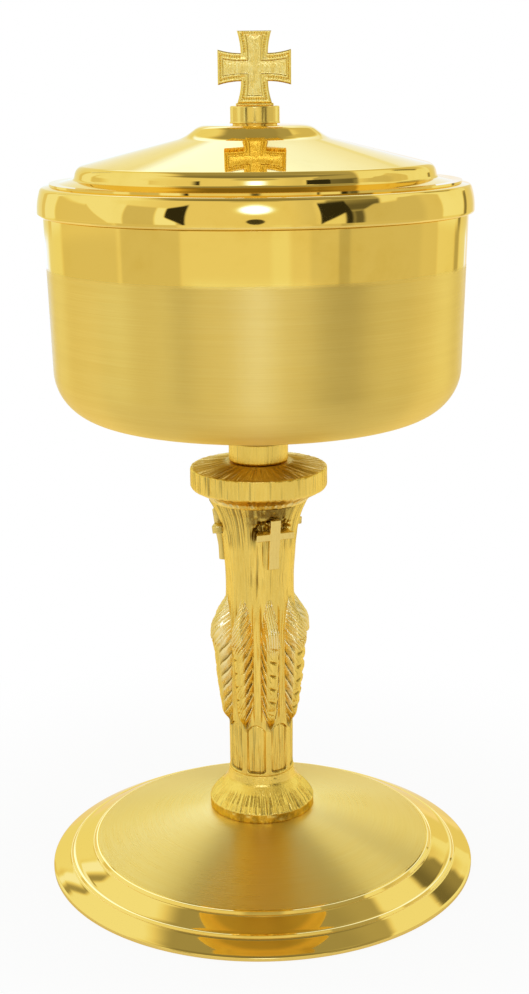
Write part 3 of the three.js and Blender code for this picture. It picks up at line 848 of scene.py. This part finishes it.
def collar_rows(degrees):
    corners = [
        (16.2, COL_LOW),
        (17, COL_LOW, 0.3),
        (17.05, 21.5, 0.7),
        (15.6, 23.6, 1.5),
        (13, 26.2, 3),
        (11.1, 28.9, 3),
        (10.65, 31.3, 0.5),
        (10.62, COL_HIGH, 0.25),
        (9, COL_HIGH),
    ]
    r, z, a, way = unrolled(corners, 6, 150, degrees)
    cone = between(21, 22.4, 25.2, 27.4, z)
    rim = (1 - ease(21, 22, z)) * ease(16.2, 16.9, r)
    lip = ease(30.6, 31.4, z) * ease(9.6, 10.2, r)
    rays = bark(a, way, 41, 118, 26)
    lumps = grain(a, way, 46, 2.2, 43) + 0.6 * grain(a, way, 110, 1.2, 44)
    r += cone * 0.22 * rays + rim * 0.12 * (lumps - 0.8) + lip * 0.08 * (lumps - 0.6)
    z += cone * 0.3 * (rays - 0.3)
    # painted shade between the ridges of the cone and in the hollows of the rim's lumps
    dark = cone * np.clip(0.1 - rays * 1.1, 0, 0.9) * (0.35 + 0.65 * (1 - ease(21.5, 25, z)))
    dark += rim * np.clip(0.3 - lumps * 0.3, 0, 0.6)
    return np.minimum(r, COLLAR_RADIUS), np.minimum(z, COL_HIGH), np.clip(dark, 0, 1)


collar = carved("cast_collar", collar_rows, 720, ROD_HOLE)
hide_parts("stem_collar")

# %% [markdown]
# The shaft. Eight ears of wheat stand round the middle, smooth pillars run between them, and below the
# ears the stem is cut back into bark panels. Three crosses stand proud under the capital, each with a
# rough hollow beside its upper bar. All of it was carved by hand in the model the casting was made from,
# so no two ears are quite the same. First the plain stem with its bark.

# %% Shaft bark
SH_LOW, SH_HIGH = heights(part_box("stem_shaft"))
EARS, CROSSES = 8, 3
EAR_TURN = 13
PILLAR_TURN = -6
CROSS_TURN = 21
DEGREE_AT_EARS = math.radians(1) * 15


def nearest(degrees, count, start):
    """Signed angle to the nearest of several places spread evenly round the stem."""
    apart = 360 / count
    return (degrees - start + apart / 2) % apart - apart / 2


def bark_layer(a, h, plain, hairs):
    """Fine upright lines, cuts beside the crosses and curved ridges on the flare, with painted shade in the
    fine grooves, the cuts and between the ridges.
    """
    strokes = bark(a, h, 51, 96, 11)
    ridges = bark(a, h, 57, 92, 30)
    cut = np.clip(-strokes - 0.15, 0, 1)
    beside = bell(nearest(a, CROSSES, CROSS_TURN - 22), 16)
    upper = between(58, 62, 76, 82, h)
    flare = ease(74, 80, h)
    r = plain + 0.045 * hairs - upper * cut * (0.2 + 0.35 * beside) + flare * 0.36 * (ridges - 0.3)
    dark = np.clip(-hairs * 0.3, 0, 0.25) + upper * cut * (0.35 + 0.7 * beside)
    return r, dark + flare * np.clip(0.22 - ridges * 0.85, 0, 0.8)


# %% [markdown]
# Pillars and panels. Each pillar is a smooth low strip between two ears. Below, a panel with a rounded
# top is sunk into the stem, and bark runs upwards inside it. Painted shade lies in the seams beside the
# pillars, in the panels' bark and along the panels' edges, heaviest near the bottom.

# %% Pillars and panels
def panel_layer(a, h, r, dark, hairs):
    beside = np.abs(nearest(a, EARS, PILLAR_TURN))
    zone = between(16, 22, 54, 61, h)
    r += zone * (1 - ease(5.2, 6.9, beside)) * (0.36 + 0.08 * hairs)
    seam = bell(beside - 7.2, 0.7) * zone
    r -= seam * 0.25
    dark += seam * 0.35
    across = np.abs(nearest(a, EARS, EAR_TURN - 180 / EARS)) * math.radians(1) * 10.2
    top_edge = 17.5 - 2.2 * (across / 3.1) ** 2
    corner = np.hypot(np.clip(across - 1.9, 0, None), np.clip(2 - h, 0, None))
    into = np.minimum(3.15 - across, np.minimum(top_edge - h, h - 0.55))
    into = np.minimum(into, 1.35 - corner)
    panel = ease(0, 0.3, into)
    rib = bark(a, h, 61, 120, 12)
    edge_line = between(0, 0.15, 0.35, 0.75, into)
    r = r - panel * (0.5 + 0.24 * (0.2 - rib)) - edge_line * 0.15
    # painted shade in the panels' bark and along their edges
    dark = dark * (1 - panel) + panel * np.clip(0.14 - rib * 0.7, 0, 0.65)
    return r, dark + edge_line * (0.12 + 0.6 * (1 - ease(0.9, 2.4, h)))


# %% [markdown]
# An ear is a raised plate with a steep flank on both sides. Husks overlap on the flanks like tiles and
# climb outwards. Small cuts mark the midline, thin lines cross the plate, and the beards at the top are
# fine parallel lines. Painted shade darkens the cuts and the gaps between husks; a pale painted highlight
# lies on the beards, the flanks and a patch near the top of some ears, which are also a little smoother.

# %% Ears of wheat
MIDLINE = (2.6, 0.5, 0, -1.5, 2, -1, 0, -2)
LEAN = (-4, -30, -20, 15, -12, 24, 24, 28)
BULGES = (0.1, 0.2, 0.5, 0.2, 0.3, 0.15, 0.1, 0.08)
LEFT_CUTS = (1, 0.8, 1, 0.9, 1, 0.8, 0.5, 0.3)
# how strongly each ear carries a painted highlight patch near its top
GLINT_PATCHES = (1, 0.1, 0.5, 0.1, 0.3, 0.8, 0.1, 1)
HUSK, BEARD = 4.15, 0.78


def ear_layer(a, h, plain, hairs):
    """Radius, painted shade, painted highlight and cover of the ears."""
    off = nearest(a, EARS, EAR_TURN)
    ear = np.floor((a - EAR_TURN) * EARS / 360 + 0.5).astype(int) % EARS
    chance = np.random.default_rng(67)
    slide, deep, steep = (chance.uniform(p, q, EARS)[ear] for p, q in ((0, 4), (0.85, 1.2), (4.6, 6)))
    tables = (MIDLINE, LEAN, BULGES, LEFT_CUTS, GLINT_PATCHES)
    midline, lean, bulge, left_cut, wear_and_glint = (np.array(values)[ear] for values in tables)
    rows = [14.6, 16, 18, 20, 23, 30, 45, 52, 57, 60.4]
    left = curve(rows, [2.5, 0.5, -3.5, -7.5, -10.8, -12.2, -12.2, -10, -6, 0], h)
    right = curve(rows, [5, 7.5, 11, 14.5, 17.6, 19.5, 19.5, 16, 11, 4], h)
    middle = (left + right) / 2
    plate_left = middle + (left - middle) * 0.52
    plate_right = middle + (right - middle) * 0.3
    t_left = (plate_left - off) / (plate_left - left)
    t_right = (off - plate_right) / (right - plate_right)
    t = np.clip(np.maximum(t_left, t_right), 0, 1.25)
    reach = curve(
        [14.6, 16, 17.4, 18.65, 20.45, 22.45, 25.45, 29.15, 32.45, 36, 39.45, 42.8, 46.5, 49.6,
         51.3, 53, 54.7, 56.4, 57.9, 60.2],
        [10.4, 10.75, 11.3, 12.1, 12.9, 13.15, 13.64, 14.14, 14.6, 14.85, 15.15, 15.6, 16.38, 16.15,
         15.56, 14.55, 13.45, 12.35, 11.4, 10.8],
        h,
    )
    s = np.clip(np.maximum((middle - off) / (middle - left), (off - middle) / (right - middle)), 0, 1)
    drop = 0.32 * ease(0, 1, t * 0.95) + 0.56 * (1 - np.cos(math.pi / 2 * s)) + 0.05 * t
    r = plain + (reach - plain) * (1 - drop)
    r -= 0.03 * np.clip(np.abs(off - 2.5) - 3.5, 0, 6) ** 1.3
    low_part = 1 - ease(43, 50, h)

    wave = (h - steep * t + slide) / HUSK + 0.06 * hairs
    phase = wave - np.floor(wave)
    husk = between(0, 0.75, 0.85, 1, phase)
    flank = between(0, 0.3, 0.95, 1.06, t) * (0.5 + 0.5 * low_part)
    flank *= np.where(off < middle, left_cut, 1)
    r += flank * (husk - 0.72) * 0.9 * deep
    # painted shade between the husks, along the flank's edge and in the cuts
    dark = flank * np.clip((0.46 - husk) * 2.2, 0, 0.9)
    rim = bell(t - 1.04, 0.1) * between(16, 19, 50, 56, h)
    dark += rim * 0.5

    inner = (off - midline) * np.where(off < midline, -1, 0.7)
    sweep = (h - steep * 0.1 * inner + slide * 0.6) / HUSK
    line = bell((sweep - np.round(sweep)) * HUSK, 0.2) * (1 - ease(0, 0.25, t)) * low_part
    line *= ease(0.8, 2.5, inner) * np.where(off < midline, 1, 0.35)
    r -= line * 0.24
    way = (off - midline) * DEGREE_AT_EARS
    beat = (h + slide) / (HUSK * 1.12)
    cut = (beat - np.round(beat)) * HUSK * 1.12 + 0.35 * way * np.where(ear % 2 == 0, 1, -1)
    notch = np.exp(-((way / 0.95) ** 4) - (cut / 0.3) ** 2) * between(21, 23, 46.5, 48.5, h)
    r -= notch * 0.6
    dark += line * 0.45 + notch * 0.85
    scallop = np.abs(np.sin(math.pi * (h + slide) / HUSK)) ** 0.7
    r += bulge * (scallop - 0.75) * low_part * (1 - ease(0, 0.3, t)) * ease(19, 22, h)

    turned = np.radians(lean)
    across = off * DEGREE_AT_EARS * np.cos(turned) - h * np.sin(turned)
    beards = np.sin(across / BEARD * 2 * math.pi + 1.5 * grain(a, h, 44, 5, 68))
    top_part = between(41, 46, 57, 59.5, h)
    r += (0.03 + 0.13 * top_part) * beards
    dark = dark * (1 - 0.6 * top_part) + top_part * np.clip(-beards * 0.4 - 0.2, 0, 0.2)
    # painted highlight on the beards, on the flanks and in a patch near the top of some ears
    shine = top_part * (1 - ease(0.5, 1, t)) * (0.12 + 0.6 * np.clip(beards, 0, 1))
    shine += 0.8 * ease(0, 0.5, t) * (1 - dark)
    patch = np.exp(-(((h - 50.5) / 5) ** 2) - ((off - midline) / 5) ** 2)
    shine = np.clip(shine + wear_and_glint * patch * (0.55 + 0.5 * beards), 0, 1)
    cover = between(14.4, 15.4, 59, 60.2, h) * (1 - ease(1, 1.12, t))
    return r, np.clip(dark, 0, 1), shine, cover


# %% [markdown]
# The crosses. The lower bar lies close to the stem, and the arms and the upper bar step outwards with
# the flare. The hollow round the upper bar was gouged out roughly, with ragged edges. Painted shade fills
# the hollow, the overhang above it and a pit beside the arm, and a painted shadow line runs round each cross.

# %% Relief crosses
def cross_layer(a, h, r, dark, hairs):
    off = np.radians(nearest(a, CROSSES, CROSS_TURN))
    facing = np.abs(off) < math.radians(44)
    x = np.where(facing, r * np.sin(off), 99)
    z = h + SH_LOW
    ragged = grain(a, h, 72, 1.6, 71)
    pits = grain(a, h, 120, 1, 72)
    hood = ease(115.8, 117.6, z) * np.exp(-(((x + 0.8) / 6.6) ** 4))
    r += 0.45 * hood * np.clip(12.9 + 0.55 * (z - 116.4) + 0.3 * ragged - r, 0, 3)
    # painted shade under the overhang
    dark = dark * (1 - 0.5 * hood) + hood * np.clip(0.82 + 0.35 * pits - 0.2 * ragged, 0.3, 1)
    gouge = ease(-0.6, 0.5, 5.6 + 0.9 * ragged - np.abs(x - 0.2)) * ease(113.7, 114.5, z)
    gouge *= 1 - ease(-1, 1.3, z - 117.9 - 1.3 * pits + 0.05 * x * x)
    r -= gouge * (1.5 + 0.65 * pits + 0.3 * ragged)
    # painted shade in the gouged hollow
    dark = dark * (1 - gouge) + gouge * np.clip(0.62 + 0.55 * pits, 0.1, 1)
    hole = np.exp(-(((x + 5.9) / 0.6) ** 2 + ((z - 113.2) / 1.7) ** 2))
    r -= hole
    # painted shade in the pit beside the arm
    dark += hole * 0.95
    face = curve([102, 106.5, 111.6, 114.3, 118.7], [12.75, 12.95, 13.8, 14.15, 14.8], z)
    face = face / np.cos(np.where(facing, off, 0))
    bar = np.minimum(1.55 - np.abs(x), np.minimum(z - 102.1, 118.6 - z))
    arms = np.minimum(5.1 - np.abs(x), np.minimum(z - 111.8, 114.25 - z))
    into = np.maximum(bar, arms)
    on_cross = ease(-0.06, 0.1, into)
    bevel = 0.12 * (1 - ease(0, 0.22, into))
    r += on_cross * (face - bevel - r + 0.02 * hairs)
    # a painted shadow line round each cross
    outline = ease(-0.5, -0.05, into) * (1 - on_cross)
    return r, dark * (1 - on_cross) + outline * 0.5, on_cross


# %% Shaft
def shaft_rows(degrees):
    h = np.linspace(0, SH_HIGH - SH_LOW, 640)[:, None] + 0 * degrees
    a = degrees + 0 * h
    plain = curve(
        [0, 13.5, 59, 65.5, 71.5, 79.5, 84, 86.9, 88.8, 90.2],
        [10.37, 10.43, 10.84, 10.86, 11.25, 11.98, 12.85, 13.8, 14.7, 15.38],
        h,
    )
    hairs = grain(a, h, 250, 6, 53)
    r, dark = bark_layer(a, h, plain, hairs)
    r, dark = panel_layer(a, h, r, dark, hairs)
    ear, ear_dark, shine, cover = ear_layer(a, h, plain, hairs)
    cover *= ear > r
    # painted shade under the tips of the ears
    tips = bell(h - 17, 1.8) * bell(nearest(a, EARS, EAR_TURN + 4), 9)
    r = r - tips * 0.3 + cover * (ear - r)
    dark = dark * (1 - cover) + ear_dark * cover + tips * 0.55
    r, dark, on_cross = cross_layer(a, h, r, dark, hairs)
    # the relief crosses get a light painted highlight
    marks = np.stack([np.clip(dark, 0, 1), np.clip(shine * cover + 0.3 * on_cross, 0, 1)])
    return np.clip(r, 8, 16.5), h + SH_LOW, marks


shaft = carved("cast_shaft", shaft_rows, 800, ROD_HOLE)
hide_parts("stem_shaft")
print("shaft", len(shaft.data.vertices), "points")

# %% [markdown]
# ## Inside and underneath
# The rod, nut, washers, bush and screw keep their CAD shapes and get plain turned brass.

# %% Hidden fittings
for name in ("foot_washer", "foot_nut", "tie_rod", "cup_boss", "finial_washer", "finial_screw"):
    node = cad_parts[name]
    for place in node.material_slots:
        place.material = metal_brass

# %% [markdown]
# ## Floor and light tent
# The floor is a pale disc. The rest of the tent is the world itself: soft boxes left and right, a dimmer
# roof, a front sheet with a lamp above the camera, and the dark slits where the sheets meet. The camera
# sees plain white.

# %% Floor
FLOOR_RADIUS = 0.85
FLOOR_SIDES = 96
turns = [k * 2 * math.pi / FLOOR_SIDES for k in range(FLOOR_SIDES)]
floor_points = [(0, 0, 0)]
floor_points += [(FLOOR_RADIUS * math.sin(t), -FLOOR_RADIUS * math.cos(t), 0) for t in turns]
floor_mesh = bpy.data.meshes.new("floor")
floor_mesh.from_pydata(floor_points, [], [[0, 1 + k, 1 + (k + 1) % FLOOR_SIDES] for k in range(FLOOR_SIDES)])
floor = bpy.data.objects.new("floor", floor_mesh)
bpy.context.scene.collection.objects.link(floor)
floor.location.z = -0.0002


def seen_white(tree, mirrored_share):
    """1 for what the camera sees itself, and a given share for what metal mirrors."""
    kinds = ("Is Camera Ray", "Is Transmission Ray", "Is Glossy Ray")
    straight, through, mirrored = (tree.wire("ShaderNodeLightPath", output=kind) for kind in kinds)
    return straight.maths("MAXIMUM", through).maths("MAXIMUM", mirrored * mirrored_share)


WHITE = {"Color": (1, 1, 1, 1), "Strength": 1}
pale = bpy.data.materials.new("pale_floor")
tree = Tree(pale)
spot = tree.wire("ShaderNodeTexCoord", output="Object")
x, y, z = tree.parts(spot)
away = (x * x + y * y).maths("SQRT")
paper = tree.noise(spot, 900, 3)
card = tree.mix(tree.step(paper, 0.3, 0.7), (0.8, 0.79, 0.77, 1), (0.84, 0.83, 0.81, 1))
matt = tree.wire("ShaderNodeBsdfDiffuse", {"Color": card})
white = tree.wire("ShaderNodeEmission", WHITE)
metal_share = 0.5 + tree.step(x.maths("ABSOLUTE"), 0.04, 0.1, 0.3, 0) * tree.fade(y, -0.12, -0.09)
metal_share = metal_share.maths("MAXIMUM", tree.step(y, -0.01, 0.04, 0, 0.9))
plain_share = seen_white(tree, metal_share) * tree.step(away, 0.06, 0.2, 0.93, 1)
tree.surface(tree.blend(plain_share, matt, white))
floor_mesh.materials.append(pale)

# %% [markdown]
# The tent is painted on the world by bearing (0 at the front, growing to the right) and by rise above the
# horizon, both in degrees. Each layer is a mask and a brightness, and covers the layers before it.

# %% Light tent
world = bpy.data.worlds.new("light_tent")
bpy.context.scene.world = world
tree = Tree(world)
step, fade = tree.step, tree.fade
x, y, z = tree.parts(tree.wire("ShaderNodeTexCoord", output="Generated"))
bearing = x.maths("ARCTAN2", -y) * (180 / math.pi)
rise = z.maths("ARCSINE") * (180 / math.pi)


def window(value, low, high, soft):
    """1 between two bounds, fading over a few degrees."""
    return step(value, low - soft, low + soft) * fade(value, high - soft, high + soft)


def pane(left, right, bottom, top, soft_sides, soft_ends):
    """1 between two bearings and two rises."""
    return window(bearing, left, right, soft_sides) * window(rise, bottom, top, soft_ends)


def over(under, mask, value):
    """Lays one brightness over another through a mask."""
    return under + mask * (value - under)


def row_of_sheets(start, *sheets):
    """Sheets side by side: each begins at a bearing, with an edge a given number of degrees soft."""
    value = start
    for edge, soft, brightness in sheets:
        value = over(value, step(bearing, edge - soft, edge + soft), brightness)
    return value


# upper sheets: round soft boxes at the left and right, and a back sheet between them
left_disc = step(y * 0.283 - x * 0.959, 0.38, 0.5)
left_glow = row_of_sheets(1, (-168, 6, 0.92), (-143, 3, 1.02), (-72, 14, 0.88), (-55, 8, 0.8))
right_rim = step(x * 0.959 + y * 0.283, 0.3, 0.345) * step(rise, 8, 16) * fade(rise, 60, 68)
right_disc = step(x * 0.848 + y * 0.53, 0.54, 0.58)
back_sheet = step(bearing.maths("ABSOLUTE"), 158, 166) * fade(rise, 34, 46)
layers = [
    (left_disc, left_glow),
    (right_rim, step(rise, 20, 32, 0.13, 0.42)),
    (right_disc, row_of_sheets(0.98, (146, 5, 0.86))),
    (back_sheet, step(rise, 19.3, 20.8, 1.05, 1.42)),
]
# front sheet with its slanted right edge, which ends overhead in a dark gap
front_edge = step(rise, 24, 60, 32, 58)
front = step(bearing, -37.5, -35.5) * fade(bearing - front_edge, -3, 0)
layers += [
    (front, row_of_sheets(0.79, (0, 16, 0.84), (20, 10, 0.7))),
    (fade(y, -0.2, 0.2) * step(rise, 50, 58), 0.22),
]
# lower sheets at the left, with a bright slanting strip, and at the right
low_left = row_of_sheets(
    1.08,
    (-169, 2, 0.97), (-147.5, 1, 0.78), (-141.5, 1, 1.07), (-126, 1.5, 0.74),
    (-71.5, 0.6, 0.63), (-52.5, 1, 1.05), (-40.5, 1, 0.6), (-36.5, 0.8, 0.79),
)
strip = step(bearing + rise * 0.95, -87, -85) * step(bearing, -110, -100)
low_left = over(low_left, strip * fade(bearing, -72.5, -70.5), 1.02)
left_top = row_of_sheets(90, (-125, 2, 12.5), (-98, 2, 20), (-45, 2, 12), (-38, 1, 90))
left_cover = fade(bearing, -37.5, -36.5) * fade(rise - left_top, -1.5, 1.5) * fade(rise, 22, 27)
low_right = row_of_sheets(
    0.03,
    (50, 1, 0.26), (51.5, 1, 0.13), (56.5, 1.5, 0.63), (96, 4, 0.72), (111.5, 1.5, 1.05),
    (156, 2, 0.85), (167.5, 1.5, 1.15),
)
right_top = row_of_sheets(27, (49, 1, 12), (60, 6, 20), (82, 3, 26), (98, 14, 38))
right_cover = step(bearing, 32.2, 33.2) * fade(rise - right_top, -1.5, 1.5) * fade(bearing, 111, 113)
layers += [(left_cover, low_left), (right_cover, low_right)]
# behind at the right: a pale sheet with a round end
behind = step(bearing, 111, 113)
arc = ((bearing - 165) * (bearing - 165) + (rise + 4) * (rise + 4)).maths("SQRT")
layers += [
    (behind * fade(rise, 14, 40), 1.04),
    (behind * fade(arc, 22, 23.5), step(bearing, 166, 169, 0.85, 1.15)),
    (pane(147, 163, 22, 50, 3, 4), 0.66),
    (window(bearing, 112, 152, 2) * window(arc, 23.5, 28.5, 1.5) * fade(rise, 5, 8), 0.26),
]
# a black slit at the left end of the front sheet, and a cream corner at its right end
left_slit = window(bearing, -47, -36, 0.8) * step(rise + (bearing + 47) * 1.1, 4, 7)
left_slit = left_slit * fade(rise - (bearing + 47) * 0.6, 18, 21)
right_corner = window(bearing, 32.5, 46, 1) * fade(rise - (bearing - 32) * 1.2, -8, -5)
layers += [(left_slit, 0.03), (right_corner * step(rise, -7, -6), 0.9)]
# below the sheets: their lower ends, as the cup's bright band shows them, and a dim patch high in front
low_row = row_of_sheets(
    1.25,
    (-150, 4, 0.95), (-76, 1.5, 0.67), (-40, 1.5, 0.83), (8, 2, 0.92), (17.5, 2, 0.78),
    (28, 2, 0.69), (43.5, 1, 0.53), (50, 1.5, 0.66), (97, 3, 0.72), (112, 1.5, 0.87),
    (133, 2, 0.5), (140, 2, 0.95), (154, 3, 1.3),
)
layers += [
    (fade(rise, -5.6, -4.8), low_row),
    (pane(-127, -77, -12, -5.2, 3, 1), 0.71),
    (window(bearing, -36, 34, 6) * fade(rise, -10.5, -8.5), 1.25),
    (pane(-15, 15, 34, 47, 4, 3), 0.45),
]
# a dark case behind on the right and the edge of a sheet on the left, which the foot shows
case = window(bearing + (rise - 27) * 0.15, 136, 146.5, 0.8) * window(rise, 25, 39, 1.5)
fold = pane(-147, -140, 22, 36, 0.8, 1.2)
layers += [(case, step(rise, 28, 36, 0.3, 0.17)), (fold, step(bearing, -144, -141.5, 1.15, 0.36))]
# the camera's own dark spot, and the lamp above it
spot = ((bearing / 4.8).maths("POWER", 2) + (rise / 4.4).maths("POWER", 2)).maths("SQRT")
layers += [(fade(spot, 0.85, 1.1), 0.06)]
lamp = ((bearing / 15).maths("POWER", 2) + ((rise - 20) / 13).maths("POWER", 2)).maths("SQRT")
# the roof is dim behind and brighter in front, and lies under all the layers
tent = step(x * 0.3 - y, -0.1, 0.22, 0.35, 0.79)
for mask, brightness in layers:
    tent = over(tent, mask, brightness)
tent = tent + fade(lamp, 0.25, 1).maths("POWER", 2) * 1.4

# %% Colour of the light
colour = tree.ramp(
    tent / 2.2,
    [
        (0, (0, 0, 0)),
        (0.36, (0.83, 0.806, 0.57)),
        (0.427, (0.9, 0.95, 0.76)),
        (0.473, (0.95, 1.06, 1.05)),
        (0.524, (1, 1.19, 1.7)),
        (0.6, (1.06, 1.4, 2.9)),
        (1, (3.4, 4.4, 9)),
    ],
)
lit = tree.wire("ShaderNodeBackground", {"Color": colour, "Strength": 1})
plain_white = tree.wire("ShaderNodeBackground", WHITE)
backdrop = step(bearing, 155, 160) * fade(rise, 2, 5)
tree.surface(tree.blend(seen_white(tree, backdrop), lit, plain_white), "ShaderNodeOutputWorld")
print("layers of light", len(layers))

# %% Picture settings
scene = bpy.context.scene
scene.view_settings.view_transform = "Standard"
print("view transform", scene.view_settings.view_transform)
